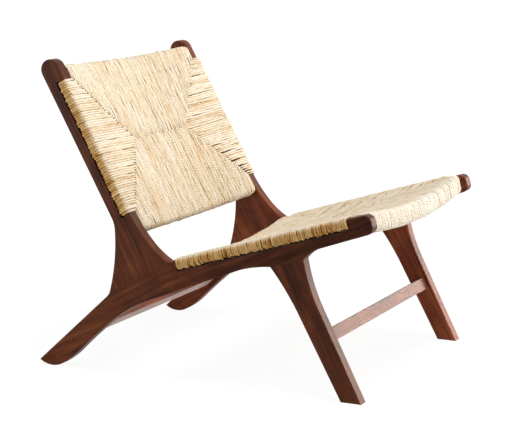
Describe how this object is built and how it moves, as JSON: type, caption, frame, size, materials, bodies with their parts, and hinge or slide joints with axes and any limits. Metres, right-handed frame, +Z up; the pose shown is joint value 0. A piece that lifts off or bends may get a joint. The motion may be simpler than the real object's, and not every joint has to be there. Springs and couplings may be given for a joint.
{
  "type": "lounge chair",
  "caption": "Low armless lounge chair with two shaped plank side frames and a reclined back and seat of cord wound and woven over dished rails.",
  "frame": {"origin": "on the floor, under the middle of the chair's bounding box", "axes": "+Z up, +X across the chair from the sitter's right to the sitter's left, and the sitter faces -Y"},
  "size_m": [0.6596, 0.8294, 0.7119],
  "materials": {
    "stained_hardwood": "dark brown stain under a satin oil, fine straight grain along each board",
    "plain_hardwood": "planed, unstained, under the cord",
    "beech": "plain turned dowel",
    "woven_cord": "matt twisted natural fibre cord, cream with tan streaks"
  },
  "bodies": {
    "root": {"back_post_left": "stained_hardwood", "back_post_right": "stained_hardwood", "seat_rail_rear_leg_left": "stained_hardwood", "seat_rail_rear_leg_right": "stained_hardwood", "front_leg_left": "stained_hardwood", "front_leg_right": "stained_hardwood", "back_bottom_rail": "plain_hardwood", "back_top_rail": "plain_hardwood", "seat_front_rail": "plain_hardwood", "seat_rear_rail": "plain_hardwood", "front_stretcher": "stained_hardwood", "rear_stretcher": "stained_hardwood", "post_dowels": "beech", "leg_dowels": "beech", "woven_back": "woven_cord", "woven_seat": "woven_cord"}
  },
  "joints": []
}
